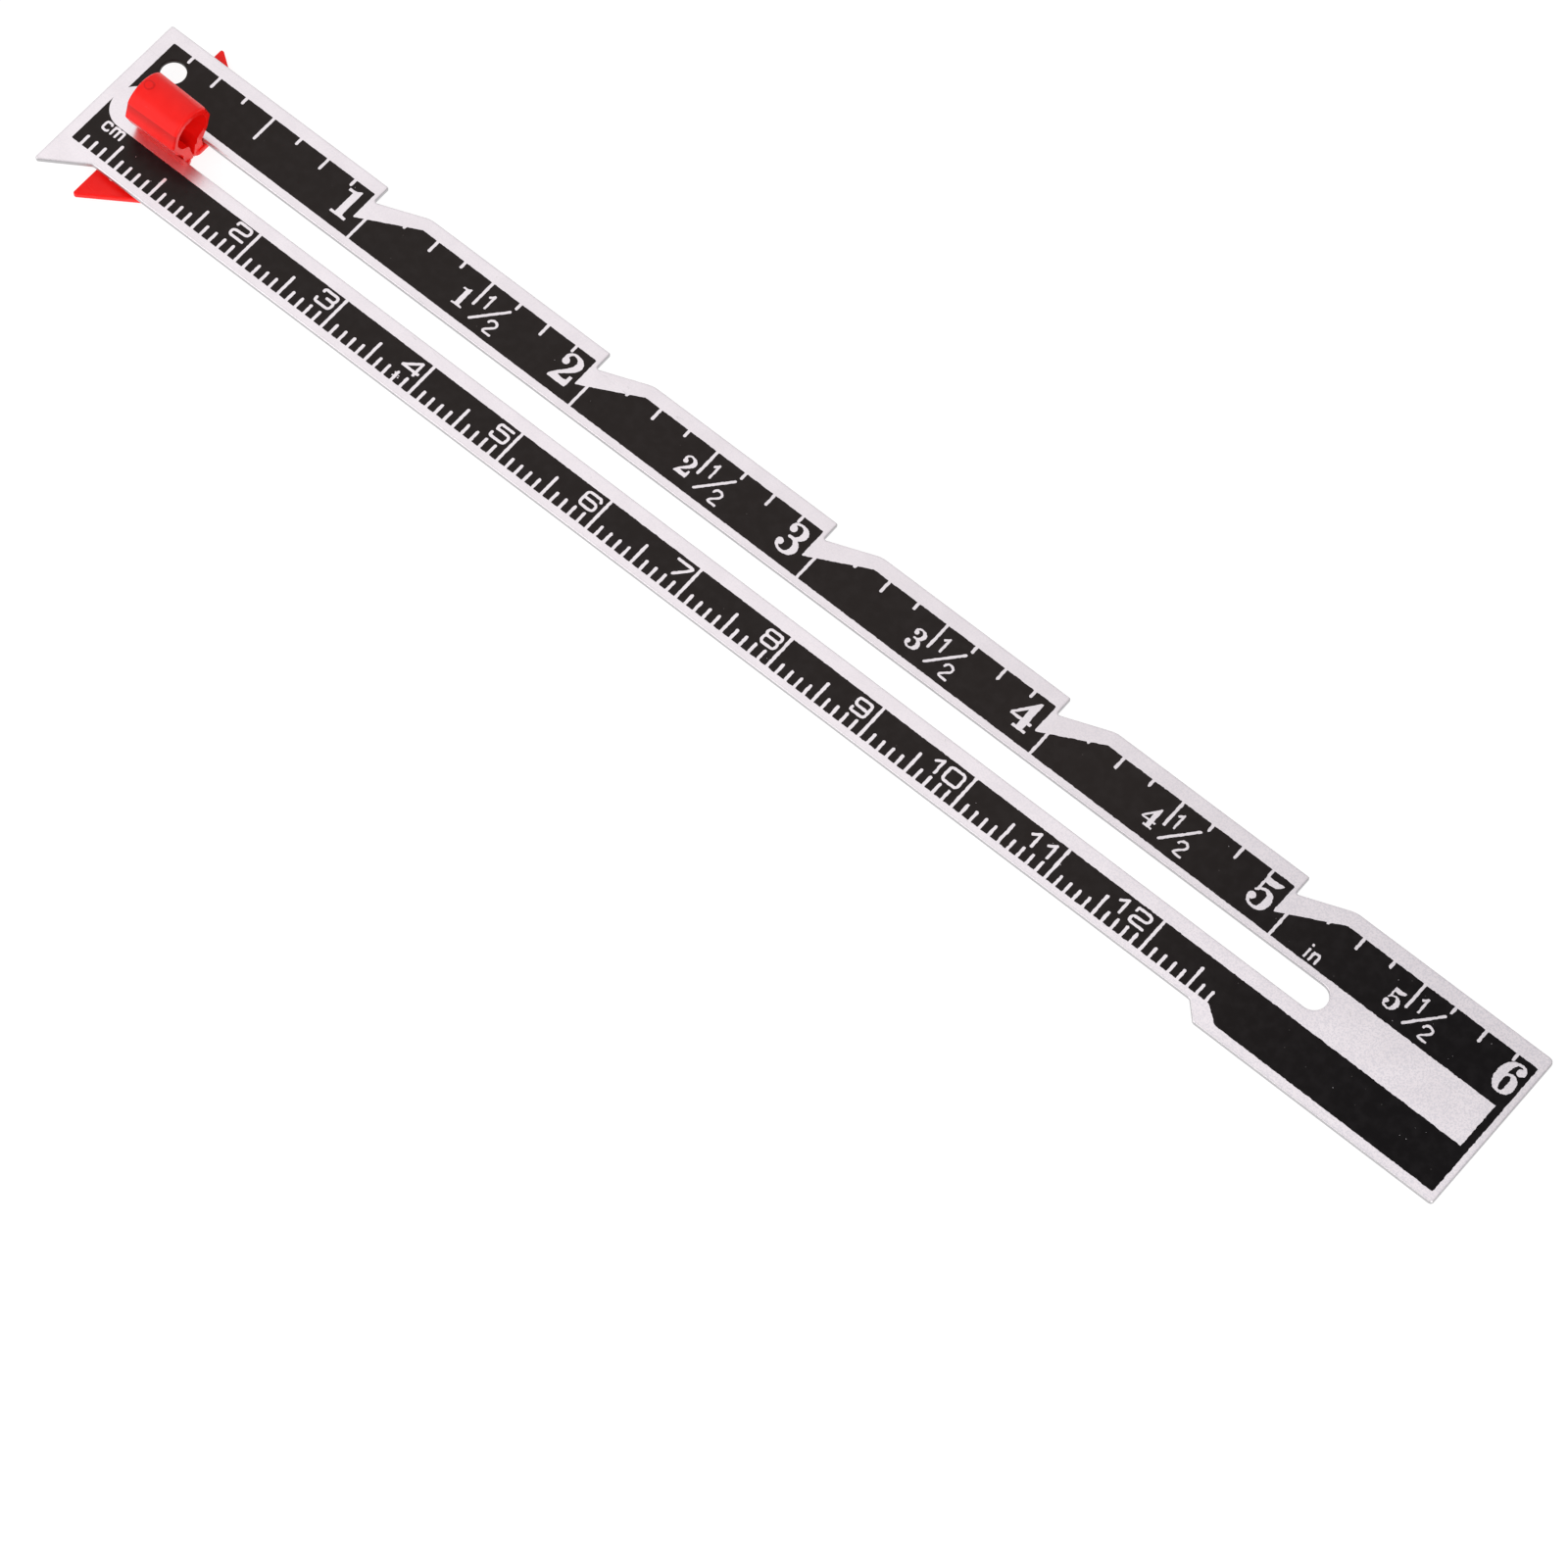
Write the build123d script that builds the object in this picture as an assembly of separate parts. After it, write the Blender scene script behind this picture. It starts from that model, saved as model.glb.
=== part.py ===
import os
from math import sqrt

from build123d import *

# Lengths are in millimetres. The blade lies along X and starts at x = 0. Its inch edge is on
# the +Y side, y = 0 is the centre line of its slot, and z = 0 is halfway through its thickness,
# with the printed face upwards.

# Blade: a flat strip with a long slot, a hanging hole and one notch for each whole inch
inch_count = 6
notch_pitch = 25.4
blade_length = inch_count * notch_pitch
blade_thickness = 0.5
blade_edge_radius = 0.13

# Blade: how far its two long edges lie from the slot's centre line
inch_edge_offset = 8.2
narrow_edge_offset = 6.8
wide_edge_offset = 8.3

# Blade: the pointed tail at the zero end, and the wide end with its slanted shoulder
tail_tip_offset = 9.75
tail_run = 4.4
wide_end_length = 24.7
shoulder_run = 1.5

# Blade: notches that step down at the whole inches and slant up again
notch_depth = 1.95
notch_run = 4.85

# Blade: corner radii of the outline
tail_tip_radius = 0.25
tail_root_radius = 0.6
shoulder_radius = 0.4
wide_corner_radius = 0.35
far_corner_radius = 0.5
zero_corner_radius = 0.2
notch_step_radius = 0.16
notch_root_radius = 0.2
notch_blend_radius = 2.5

# Blade: the slot that the slider runs in, and the hanging hole
slot_width = 2.6
slot_start = 3.3
slot_far_margin = 17.3
hanging_hole_diameter = 2.4
hanging_hole_from_end = 3.3
hanging_hole_from_edge = 3.5

# Slider: one moulding with a split tube above the blade, two legs through the slot and two
# wings behind the blade
slider_start = 4.45
slider_length = 5.6
leg_clearance = 0.1
leg_inset = 0.15
leg_gap_at_axis = 1.9

# Slider: the tube, which is a little wider at its start than at its end
tube_diameter = 4.9
tube_wall = 0.68
tube_lift = 0.55
tube_start_share = 1.04
tube_end_share = 0.985
tube_end_radius = 0.25
lumen_drop = 0.05
lumen_corner_radius = 0.3
foot_lift = 0.3
foot_overhang = 0.05

# Slider: corners of the tube's flat sides, as half widths and heights from its axis, both as
# shares of its radius. The round top ends at the first one
top_end_rise_share = 0.588
side_corner_shares = [(1.008, -0.061), (0.837, -0.612)]

# Slider: wings with a straight measuring edge, a slanted edge and a pin hole each
wing_clearance = 0.5
wing_thickness = 0.65
wing_half_span = 9.6
wing_square_reach = 5.95
wing_tip_width = 0.3
wing_split = 0.1
wing_edge_radius = 0.14
wing_shoulder_radius = 0.85
wing_tip_radius = 0.18
wing_throat_radius = 0.75
wing_heel_radius = 0.35
pin_hole_diameter = 0.8
pin_mouth_diameter = 1.35
pin_mouth_depth = 0.3
pin_hole_offset = 6.2
pin_hole_from_edge = 1.7

# How far a cut passes the surface that it goes through
overrun = 0.5

# Heights and places that follow from the sizes above
blade_top = blade_thickness / 2
blade_back = -blade_thickness / 2
tube_radius = tube_diameter / 2
tube_axis_height = blade_top + tube_lift + tube_radius
lumen_radius = tube_radius - tube_wall
lumen_axis_height = tube_axis_height - lumen_drop
leg_half_width = slot_width / 2 - leg_clearance
foot_half_width = leg_half_width + foot_overhang
foot_height = blade_top + foot_lift
wing_top = blade_back - wing_clearance
wing_bottom = wing_top - wing_thickness
slider_end = slider_start + slider_length


# A closed flat shape from corners, each given as its X, its Y and its corner radius
def rounded_face(corners):
    points = [(x, y) for x, y, radius in corners]
    radii = [radius for x, y, radius in corners]
    return make_face(FilletPolyline(*points, radius=radii, close=True))


# The corners of one inch notch: its slanted side, its root and the top of its step
def notch_corners(step_x):
    return [
        (step_x + notch_run, inch_edge_offset, notch_blend_radius),
        (step_x, inch_edge_offset - notch_depth, notch_root_radius),
        (step_x, inch_edge_offset, notch_step_radius),
    ]


# The blade's outline, anticlockwise from the tip of the tail
def blade_outline():
    wide_start = blade_length - wide_end_length
    corners = [
        (0, -tail_tip_offset, tail_tip_radius),
        (tail_run, -narrow_edge_offset, tail_root_radius),
        (wide_start - shoulder_run, -narrow_edge_offset, shoulder_radius),
        (wide_start, -wide_edge_offset, shoulder_radius),
        (blade_length, -wide_edge_offset, wide_corner_radius),
        (blade_length, inch_edge_offset, far_corner_radius),
    ]
    for mark in reversed(range(1, inch_count)):
        corners += notch_corners(mark * notch_pitch)
    corners.append((0, inch_edge_offset, zero_corner_radius))
    return rounded_face(corners)


# The slot runs from near the zero end to a plain margin at the far end, with round ends
def slot_shape():
    slot_length = blade_length - slot_far_margin - slot_start
    slot_middle = slot_start + slot_length / 2
    return Pos(slot_middle, 0) * SlotOverall(slot_length, slot_width)


# The hanging hole sits above the slot's start
def hanging_hole_shape():
    hole_y = inch_edge_offset - hanging_hole_from_edge
    return Pos(hanging_hole_from_end, hole_y) * Circle(hanging_hole_diameter / 2)


# The stamped blade, with every edge of its two faces broken by the same small radius
def make_blade():
    sheet = blade_outline() - slot_shape() - hanging_hole_shape()
    blade = extrude(sheet, amount=blade_thickness / 2, both=True)
    faces = blade.faces().sort_by(Axis.Z)
    rims = faces[0].edges() + faces[-1].edges()
    return fillet(rims, blade_edge_radius)


# A flat shape drawn in Y and Z, extruded along X from one place to another
def run_along_x(shape, start, end):
    return extrude(Plane.YZ.offset(start) * shape, amount=end - start)


# The tube's outline at one place along X: a round top, then two flats and a slanted foot a side.
# It is drawn at a share of its size about its axis
def tube_section(x, share):
    radius = tube_radius * share
    top_end_width_share = sqrt(1 - top_end_rise_share**2)
    shares = [(top_end_width_share, top_end_rise_share)] + side_corner_shares
    side = [(radius * width, radius * rise) for width, rise in shares]
    side.append((foot_half_width * share, (foot_height - tube_axis_height) * share))
    other_side = [(-y, z) for y, z in side]
    top = ThreePointArc(other_side[0], (0, radius), side[0])
    flats = Polyline(*side, *reversed(other_side))
    outline = Pos(0, tube_axis_height) * make_face(top + flats)
    return Plane.YZ.offset(x) * outline


# The tube's outside, a little wider at its start, with softened rims
def tube_outside():
    start = tube_section(slider_start, tube_start_share)
    end = tube_section(slider_end, tube_end_share)
    tube = loft([start, end], ruled=True)
    faces = tube.faces().sort_by(Axis.X)
    return fillet(faces[0].edges() + faces[-1].edges(), tube_end_radius)


# A block as wide as both legs, from inside the wings up to the tube's axis
def leg_block():
    foot = wing_top - wing_thickness / 2
    height = tube_axis_height - foot
    block = Pos(0, foot + height / 2) * Rectangle(2 * leg_half_width, height)
    return run_along_x(block, slider_start + leg_inset, slider_end - leg_inset)


# The tube's lumen and the gap below it, which narrows down to the split between the wings
def lumen_and_gap():
    gap_foot = wing_bottom - overrun
    side = [
        (wing_split / 2, gap_foot),
        (wing_split / 2, wing_top),
        (leg_gap_at_axis / 2, lumen_axis_height),
    ]
    other_side = [(-y, z) for y, z in side]
    gap = make_face(Polyline(*side, *reversed(other_side), close=True))
    lumen = Pos(0, lumen_axis_height) * Circle(lumen_radius)
    keyhole = lumen + gap
    corners = keyhole.vertices().sort_by(Axis.Y)[-2:]
    keyhole = fillet(corners, lumen_corner_radius)
    return run_along_x(keyhole, slider_start - overrun, slider_end + overrun)


# The cutter for one pin hole, upright on its mouth: a straight hole with a flared mouth
def pin_hole():
    hole_radius = pin_hole_diameter / 2
    mouth_radius = pin_mouth_diameter / 2
    middle = wing_thickness / 2
    straight = Pos(0, 0, middle) * Cylinder(hole_radius, wing_thickness + 2 * overrun)
    flare_middle = pin_mouth_depth / 2
    flare = Pos(0, 0, flare_middle) * Cone(mouth_radius, hole_radius, pin_mouth_depth)
    return straight + flare


# One wing on the +Y side, with its pin hole. Its inner corners are rounded beside the split
def make_wing():
    inner = wing_split / 2
    corners = [
        (slider_start, inner, wing_heel_radius),
        (slider_end, inner, wing_throat_radius),
        (slider_end, wing_square_reach, wing_shoulder_radius),
        (slider_start + wing_tip_width, wing_half_span, wing_tip_radius),
        (slider_start, wing_half_span, wing_tip_radius),
    ]
    wing = Pos(0, 0, wing_bottom) * extrude(rounded_face(corners), amount=wing_thickness)
    faces = wing.faces().sort_by(Axis.Z)
    wing = fillet(faces[0].edges() + faces[-1].edges(), wing_edge_radius)
    hole_x = slider_start + pin_hole_from_edge
    return wing - Pos(hole_x, pin_hole_offset, wing_bottom) * pin_hole()


# The slider: tube and legs split by the keyhole, then the two wings
def make_slider():
    clip = tube_outside() + leg_block() - lumen_and_gap()
    wing = make_wing()
    return clip + wing + mirror(wing, about=Plane.XZ)


# How far the slider can move either way before its legs meet the slot's round ends
def slider_travel():
    slot_radius = slot_width / 2
    arc_reach = slot_radius - sqrt(slot_radius**2 - leg_half_width**2)
    first_stop = slot_start + arc_reach + leg_clearance
    last_stop = blade_length - slot_far_margin - arc_reach - leg_clearance
    legs_start = slider_start + leg_inset
    legs_end = slider_end - leg_inset
    return first_stop - legs_start, last_stop - legs_end


os.makedirs("parts", exist_ok=True)
export_step(make_blade(), "parts/blade.step")
export_step(make_slider(), "parts/slider.step")
print("slider travel in mm", slider_travel())
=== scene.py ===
import math
import random

import bpy
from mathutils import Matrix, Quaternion, Vector, noise
from mathutils.geometry import delaunay_2d_cdt


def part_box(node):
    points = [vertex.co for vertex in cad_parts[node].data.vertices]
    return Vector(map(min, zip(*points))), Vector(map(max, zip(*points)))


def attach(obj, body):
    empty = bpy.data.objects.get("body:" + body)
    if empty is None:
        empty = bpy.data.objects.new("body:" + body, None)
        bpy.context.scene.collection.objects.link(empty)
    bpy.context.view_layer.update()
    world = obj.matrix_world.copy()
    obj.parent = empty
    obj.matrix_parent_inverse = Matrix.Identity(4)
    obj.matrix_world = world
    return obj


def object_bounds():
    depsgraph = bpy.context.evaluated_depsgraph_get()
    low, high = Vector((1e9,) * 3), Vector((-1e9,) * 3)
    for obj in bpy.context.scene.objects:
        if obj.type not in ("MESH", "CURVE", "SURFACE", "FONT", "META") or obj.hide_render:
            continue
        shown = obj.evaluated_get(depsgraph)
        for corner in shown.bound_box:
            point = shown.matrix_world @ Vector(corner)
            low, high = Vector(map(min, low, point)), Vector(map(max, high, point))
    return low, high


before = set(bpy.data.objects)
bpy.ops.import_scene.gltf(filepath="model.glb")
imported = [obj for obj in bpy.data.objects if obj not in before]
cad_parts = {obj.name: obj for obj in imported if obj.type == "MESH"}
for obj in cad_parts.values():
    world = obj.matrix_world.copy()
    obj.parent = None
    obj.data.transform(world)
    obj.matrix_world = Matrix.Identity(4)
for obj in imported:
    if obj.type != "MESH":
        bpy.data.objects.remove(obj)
cadBox = [list(corner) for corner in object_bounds()]
mm = 0.001  # The print, the inked rim and the gate mark are in mm, everything else is in metres
inch = 25.4
inches = 6
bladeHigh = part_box("blade")[1] / mm
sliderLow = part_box("slider")[0] / mm
print("frame loaded")


# Camera: the photograph's own place, aim and focal length
cameraLook = {
    "place": (0.2350, -0.1993, 0.4892),
    "aim": (0.0884, -0.0134, 0.0),
    "roll": 2.05,  # degrees
    "focalPixels": 6678,
    "imagePixels": 1600,
    "sensor": 36.0,
    "nearest": 0.01,
}


def addCamera(look):
    data = bpy.data.cameras.new("camera")
    data.sensor_width = look["sensor"]
    data.lens = look["focalPixels"] / look["imagePixels"] * look["sensor"]
    data.clip_start = look["nearest"]
    camera = bpy.data.objects.new("camera", data)
    bpy.context.scene.collection.objects.link(camera)
    camera.location = look["place"]
    sight = Vector(look["aim"]) - Vector(look["place"])
    turn = sight.to_track_quat("-Z", "Y") @ Quaternion((0, 0, 1), math.radians(look["roll"]))
    camera.rotation_euler = turn.to_euler()
    bpy.context.scene.camera = camera


addCamera(cameraLook)
bpy.context.scene.view_settings.view_transform = "Standard"
print("camera placed")


# Short helpers for node trees
def newNode(tree, kind, **settings):
    node = tree.nodes.new(kind)
    for key, value in settings.items():
        setattr(node, key, value)
    return node


def fill(tree, node, values):
    for key, value in values.items():
        if isinstance(value, bpy.types.NodeSocket):
            tree.links.new(value, node.inputs[key])
        else:
            node.inputs[key].default_value = value
    return node


def maths(tree, operation, first, second=0.0, clamp=False):
    node = newNode(tree, "ShaderNodeMath", operation=operation, use_clamp=clamp)
    fill(tree, node, {0: first, 1: second})
    return node.outputs[0]


# A value carried smoothly from one range to another, and held beyond its ends
def spread(tree, value, fromLow, fromHigh, toLow=0.0, toHigh=1.0):
    node = newNode(tree, "ShaderNodeMapRange", interpolation_type="SMOOTHSTEP")
    fill(tree, node, {0: value, 1: fromLow, 2: fromHigh, 3: toLow, 4: toHigh})
    return node.outputs[0]


def mixColours(tree, amount, first, second):
    node = newNode(tree, "ShaderNodeMix", data_type="RGBA")
    fill(tree, node, {0: amount, 6: first, 7: second})
    return node.outputs[2]


def stretched(tree, vector, stretch):
    node = newNode(tree, "ShaderNodeVectorMath", operation="MULTIPLY")
    fill(tree, node, {0: vector, 1: stretch})
    return node.outputs[0]


# A vector's three coordinates, each as a value
def coordinates(tree, vector):
    node = newNode(tree, "ShaderNodeSeparateXYZ")
    return fill(tree, node, {0: vector}).outputs


# A base value with a share of an uneven one added
def uneven(tree, base, value, share):
    return maths(tree, "ADD", base, maths(tree, "MULTIPLY", value, share))


def newGroup(name, inputs, outputs):
    tree = bpy.data.node_groups.new(name, "ShaderNodeTree")
    for socketName, socketType, value in inputs:
        socket = tree.interface.new_socket(socketName, in_out="INPUT", socket_type=socketType)
        if value is not None:
            socket.default_value = value
    for socketName in outputs:
        tree.interface.new_socket(socketName, in_out="OUTPUT", socket_type="NodeSocketFloat")
    return tree, tree.nodes.new("NodeGroupInput"), tree.nodes.new("NodeGroupOutput")


def useGroup(tree, group, values):
    node = newNode(tree, "ShaderNodeGroup", node_tree=group)
    return fill(tree, node, values).outputs[0]


# Cloudy unevenness of a surface, as a value round one half
def mottleGroup():
    tree, entry, leave = newGroup(
        "mottle",
        [("Place", "NodeSocketVector", None), ("Size", "NodeSocketFloat", 1.0)],
        ["Value"],
    )
    scale = maths(tree, "DIVIDE", 1.0, entry.outputs["Size"])
    clouds = newNode(tree, "ShaderNodeTexNoise")
    fill(tree, clouds, {"Vector": entry.outputs["Place"], "Scale": scale, "Detail": 5.0})
    tree.links.new(clouds.outputs[0], leave.inputs["Value"])
    return tree


# Thin wandering scratches: narrow bands where a stretched noise crosses its middle. They show
# only in patches, where a second noise is high
scratchPatches = {"scale": 1.7, "highest": 0.75, "drop": 0.5}


def scratchGroup(look):
    tree, entry, leave = newGroup(
        "scratches",
        [
            ("Place", "NodeSocketVector", None),
            ("Spacing", "NodeSocketFloat", 1.0),
            ("Width", "NodeSocketFloat", 0.02),
            ("Share", "NodeSocketFloat", 0.3),
        ],
        ["Mask"],
    )
    scale = maths(tree, "DIVIDE", 1.0, entry.outputs["Spacing"])
    lines = newNode(tree, "ShaderNodeTexNoise")
    fill(tree, lines, {"Vector": entry.outputs["Place"], "Scale": scale, "Detail": 1.0})
    offMiddle = maths(tree, "ABSOLUTE", maths(tree, "SUBTRACT", lines.outputs[0], 0.5))
    line = spread(tree, offMiddle, entry.outputs["Width"], 0.0)
    patches = newNode(tree, "ShaderNodeTexNoise")
    patchScale = maths(tree, "MULTIPLY", scale, look["scale"])
    fill(tree, patches, {"Vector": entry.outputs["Place"], "Scale": patchScale, "Detail": 0.0})
    drop = maths(tree, "MULTIPLY", entry.outputs["Share"], look["drop"])
    least = maths(tree, "SUBTRACT", look["highest"], drop)
    kept = maths(tree, "GREATER_THAN", patches.outputs[0], least)
    tree.links.new(maths(tree, "MULTIPLY", line, kept), leave.inputs["Mask"])
    return tree


mottle = mottleGroup()
scratches = scratchGroup(scratchPatches)


def cloudiness(tree, place, size):
    return useGroup(tree, mottle, {"Place": place, "Size": size})


def newMaterial(name):
    material = bpy.data.materials.new(name)
    material.use_nodes = True
    tree = material.node_tree
    return material, tree, tree.nodes["Principled BSDF"]


def addBump(tree, shader, height, strength, depth):
    bump = newNode(tree, "ShaderNodeBump")
    fill(tree, bump, {"Height": height, "Strength": strength, "Distance": depth})
    fill(tree, shader, {"Normal": bump.outputs[0]})


# Blade: satin aluminium sheet with faint rolling lines and a few scratches. Its rim has a painted
# dark line and a painted bright line (painted shade and painted highlight), and its sheared edges
# are grey.
# The face gets grainier towards the far end, and one long side of it is painted a little brighter
# there
aluminium = {
    "light": (0.93, 0.865, 0.90, 1),
    "dull": (0.89, 0.825, 0.86, 1),
    "cloudRange": (0.3, 0.7),
    "mottleSize": 2.6 * mm,
    "edge": (0.50, 0.49, 0.50, 1),
    "edgeRange": (0.85, 0.25),  # how level a surface is where the grey starts, and is full
    "roughness": 0.24,
    "roughnessSpread": 0.10,
    "edgeRoughness": 0.42,
    "rimReach": 0.27 * mm,
    # Painted shade and painted highlight along the rim, by how level the softened surface is
    "rimShadeAndHighlightTones": (
        (0.0, 0.50), (0.70, 0.56), (0.82, 1.10), (0.91, 1.10), (0.965, 0.76), (0.994, 1.0),
    ),
    "brightestRimHighlight": 1.2,
    "lineSize": 0.10 * mm,
    "lineStretch": (0.03, 1.0, 1.0),
    "lineDepth": 0.6e-6,
    "bumpStrength": 0.5,
    "scratch": (0.62, 0.60, 0.61, 1),
    "scratchAmount": 0.6,
    "scratchTurn": (0, 0, 0.5),
    "scratchStretch": (0.12, 1.0, 1.0),
    "scratchLines": {"Spacing": 0.9 * mm, "Width": 0.006, "Share": 0.12},
    "grain": (0.66, 0.64, 0.70, 1),
    "grainSize": 0.15 * mm,
    "grainRange": (0.42, 0.62),
    "grainPlaces": (0.085, 0.150),  # along the blade
    "grainAmounts": (0.14, 0.54),
    # Painted light: towards the far end one long side is painted brighter and the other darker
    "paintedLightPlaces": (0.040, 0.150),
    "paintedLightAmounts": (0.02, 0.095),
    "paintedLightEdges": (-8.3 * mm, 8.2 * mm),  # the brighter side and the darker one
}


# Painted highlight and painted shade near a rim: a tone for how much the softened surface there
# faces up or down
def rimTone(tree, look):
    softened = newNode(tree, "ShaderNodeBevel", samples=6)
    fill(tree, softened, {"Radius": look["rimReach"]})
    tilt = coordinates(tree, softened.outputs[0])
    tones = newNode(tree, "ShaderNodeFloatCurve")
    curve = tones.mapping.curves[0]
    curve.points[0].location = look["rimShadeAndHighlightTones"][0]
    curve.points[1].location = (1.0, look["rimShadeAndHighlightTones"][-1][1])
    for level, tone in look["rimShadeAndHighlightTones"][1:]:
        curve.points.new(level, tone)
    tones.mapping.clip_max_y = look["brightestRimHighlight"]
    tones.mapping.update()
    fill(tree, tones, {"Value": maths(tree, "ABSOLUTE", tilt[2])})
    return tones.outputs[0]


def aluminiumMaterial(look):
    material, tree, shader = newMaterial("satinAluminium")
    place = newNode(tree, "ShaderNodeTexCoord")
    spot = place.outputs["Object"]
    x, y = coordinates(tree, spot)[0:2]
    clouds = cloudiness(tree, spot, look["mottleSize"])
    along = stretched(tree, spot, look["lineStretch"])
    lines = cloudiness(tree, along, look["lineSize"])
    grain = cloudiness(tree, spot, look["grainSize"])
    slanted = newNode(tree, "ShaderNodeMapping")
    turn, stretch = look["scratchTurn"], look["scratchStretch"]
    fill(tree, slanted, {"Vector": spot, "Rotation": turn, "Scale": stretch})
    scores = useGroup(tree, scratches, {"Place": slanted.outputs[0], **look["scratchLines"]})

    face = mixColours(tree, spread(tree, clouds, *look["cloudRange"]), look["dull"], look["light"])
    grainAmount = spread(tree, x, *look["grainPlaces"], *look["grainAmounts"])
    grain = maths(tree, "MULTIPLY", spread(tree, grain, *look["grainRange"]), grainAmount)
    face = mixColours(tree, grain, face, look["grain"])
    scratched = maths(tree, "MULTIPLY", scores, look["scratchAmount"])
    face = mixColours(tree, scratched, face, look["scratch"])
    # Painted light across the face, brighter on one long side towards the far end
    across = spread(tree, y, *look["paintedLightEdges"], 1.0, -1.0)
    paintedSideLight = spread(tree, x, *look["paintedLightPlaces"], *look["paintedLightAmounts"])
    paintedSideLight = uneven(tree, 1.0, across, paintedSideLight)
    # The colour is scaled by the painted highlight and shade along the rims and by the painted
    # light across the face
    face = stretched(tree, face, maths(tree, "MULTIPLY", rimTone(tree, look), paintedSideLight))

    normal = coordinates(tree, place.outputs["Normal"])
    upright = spread(tree, maths(tree, "ABSOLUTE", normal[2]), *look["edgeRange"])
    colour = mixColours(tree, upright, face, look["edge"])
    rough = uneven(tree, look["roughness"], lines, look["roughnessSpread"])
    rough = spread(tree, upright, 0.0, 1.0, rough, look["edgeRoughness"])
    fill(tree, shader, {"Base Color": colour, "Roughness": rough, "Metallic": 1.0})
    height = maths(tree, "SUBTRACT", lines, scores)
    addBump(tree, shader, height, look["bumpStrength"], look["lineDepth"])
    return material


# Print: thin black ink, slightly uneven, with a few pale dots and a soft gloss that fades towards
# the far end
ink = {
    "dark": (0.0058, 0.0056, 0.0064, 1),
    "pale": (0.0100, 0.0094, 0.0104, 1),
    "cloudRange": (0.35, 0.75),
    "mottleSize": 0.9 * mm,
    "dot": (0.055, 0.050, 0.050, 1),
    "dotSpacing": 1.3 * mm,
    "dotRange": (0.05, 0.025),
    "roughness": 0.27,
    "roughnessSpread": 0.12,
    "ior": 1.33,
    "shinePlaces": (0.105, 0.148),  # along the blade
    "shineAmounts": (0.5, 0.11),
    "shineTint": (1.0, 0.78, 0.68, 1),
    "grainSize": 0.07 * mm,
    "grainDepth": 0.8e-6,
    "bumpStrength": 0.4,
}


def inkMaterial(look):
    material, tree, shader = newMaterial("blackInk")
    spot = newNode(tree, "ShaderNodeTexCoord").outputs["Object"]
    clouds = cloudiness(tree, spot, look["mottleSize"])
    grain = cloudiness(tree, spot, look["grainSize"])
    colour = mixColours(tree, spread(tree, clouds, *look["cloudRange"]), look["dark"], look["pale"])
    dots = newNode(tree, "ShaderNodeTexVoronoi")
    fill(tree, dots, {"Vector": spot, "Scale": 1 / look["dotSpacing"]})
    dot = spread(tree, dots.outputs["Distance"], *look["dotRange"])
    colour = mixColours(tree, dot, colour, look["dot"])
    rough = uneven(tree, look["roughness"], clouds, look["roughnessSpread"])
    x = coordinates(tree, spot)[0]
    shine = spread(tree, x, *look["shinePlaces"], *look["shineAmounts"])
    fill(tree, shader, {"Base Color": colour, "Roughness": rough, "IOR": look["ior"]})
    fill(tree, shader, {"Specular IOR Level": shine, "Specular Tint": look["shineTint"]})
    addBump(tree, shader, grain, look["bumpStrength"], look["grainDepth"])
    return material


# Slider: glossy red moulded plastic, a little uneven, that light soaks into. A grooved crease runs
# along each side of its tube, with painted shade along it that fades downwards
redPlastic = {
    "name": "redPlastic",
    "deep": (0.91, 0.008, 0.006, 1),
    "bright": (0.98, 0.012, 0.009, 1),
    "cloudRange": (0.3, 0.7),
    "mottleSize": 1.8 * mm,
    # Painted shade: a darker red along the crease that fades downwards
    "creaseShadeAndGroove": (0.64, 0.004, 0.003, 1),
    "creaseHeight": 4.62 * mm,
    "creaseFadeAbove": 0.09 * mm,
    "creaseFadeBelow": 1.20 * mm,
    "creaseSides": (1.80 * mm, 1.90 * mm),  # from the slot's middle, where it starts and is full
    "creaseShadeTone": 0.85,
    "creaseDepth": 6.0,
    "shine": 0.19,
    "roughness": 0.17,
    "roughnessSpread": 0.12,
    "scuffRoughness": 0.2,
    "scuffLines": {"Spacing": 0.7 * mm, "Width": 0.01, "Share": 0.2},
    "softness": 0.25,
    "softReach": 0.5 * mm,
    "softReds": (1.0, 0.12, 0.08),
    "flowStretch": (0.35, 1.0, 1.0),
    "grainSize": 0.22 * mm,
    "grainDepth": 3.0e-6,
    "bumpStrength": 0.35,
}


# Where the crease's groove and its painted shade are: sharp along its upper side, fading downwards,
# and only outside the legs
def creaseMask(tree, spot, look):
    y, z = coordinates(tree, spot)[1:3]
    outside = spread(tree, maths(tree, "ABSOLUTE", y), *look["creaseSides"])
    line = look["creaseHeight"]
    above = spread(tree, z, line + look["creaseFadeAbove"], line)
    below = spread(tree, z, line - look["creaseFadeBelow"], line)
    return maths(tree, "MULTIPLY", maths(tree, "MULTIPLY", above, below), outside)


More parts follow.
